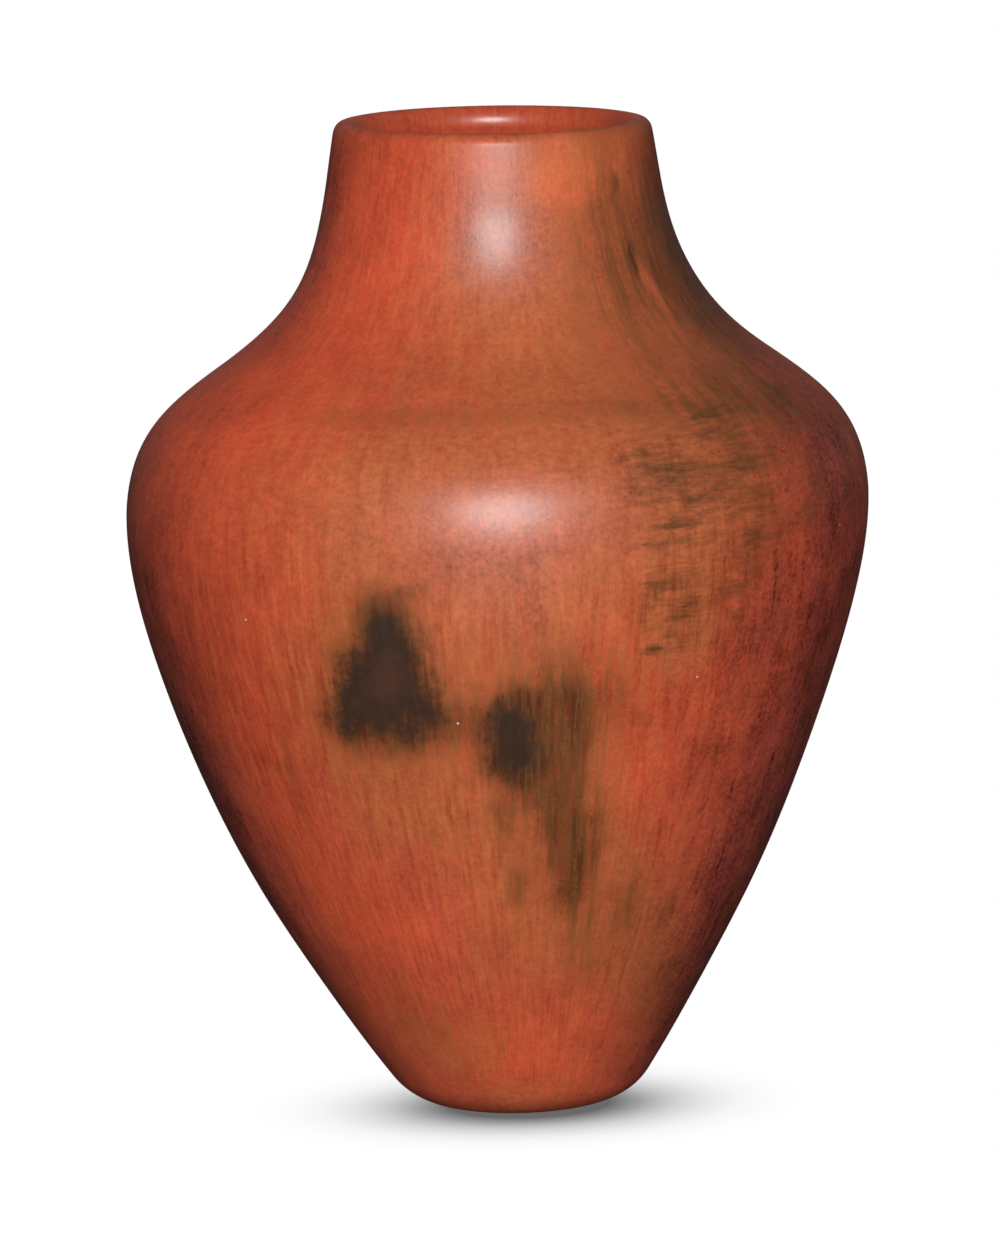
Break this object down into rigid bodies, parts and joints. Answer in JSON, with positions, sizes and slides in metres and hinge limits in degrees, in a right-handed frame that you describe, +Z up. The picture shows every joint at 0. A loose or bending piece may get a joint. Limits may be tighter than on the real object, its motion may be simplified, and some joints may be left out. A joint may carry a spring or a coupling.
{
  "type": "redware vase",
  "caption": "Coil-built burnished redware vase with a small flat base, high round belly, hollow-curved shoulder and short neck with a rounded lip, smoke-marked in firing; holds stems or water.",
  "frame": {"origin": "centre of the flat face that the vase rests on", "axes": "+Z up the pot's axis from the resting face to the mouth, +X to the right and +Y away as the vase is pictured"},
  "size_m": [0.2404, 0.2404, 0.3224],
  "materials": {
    "base_slab": "satin",
    "burnished_wall": "satin",
    "burnished_rim": "satin"
  },
  "bodies": {
    "root": {"base_slab": "base_slab", "lower_wall_coil_1": "burnished_wall", "lower_wall_coil_2": "burnished_wall", "lower_wall_coil_3": "burnished_wall", "lower_wall_coil_4": "burnished_wall", "lower_wall_coil_5": "burnished_wall", "lower_wall_coil_6": "burnished_wall", "shoulder_coil_1": "burnished_wall", "shoulder_coil_2": "burnished_wall", "neck_coil_1": "burnished_wall", "neck_coil_2": "burnished_wall", "rim_coil": "burnished_rim"}
  },
  "joints": []
}
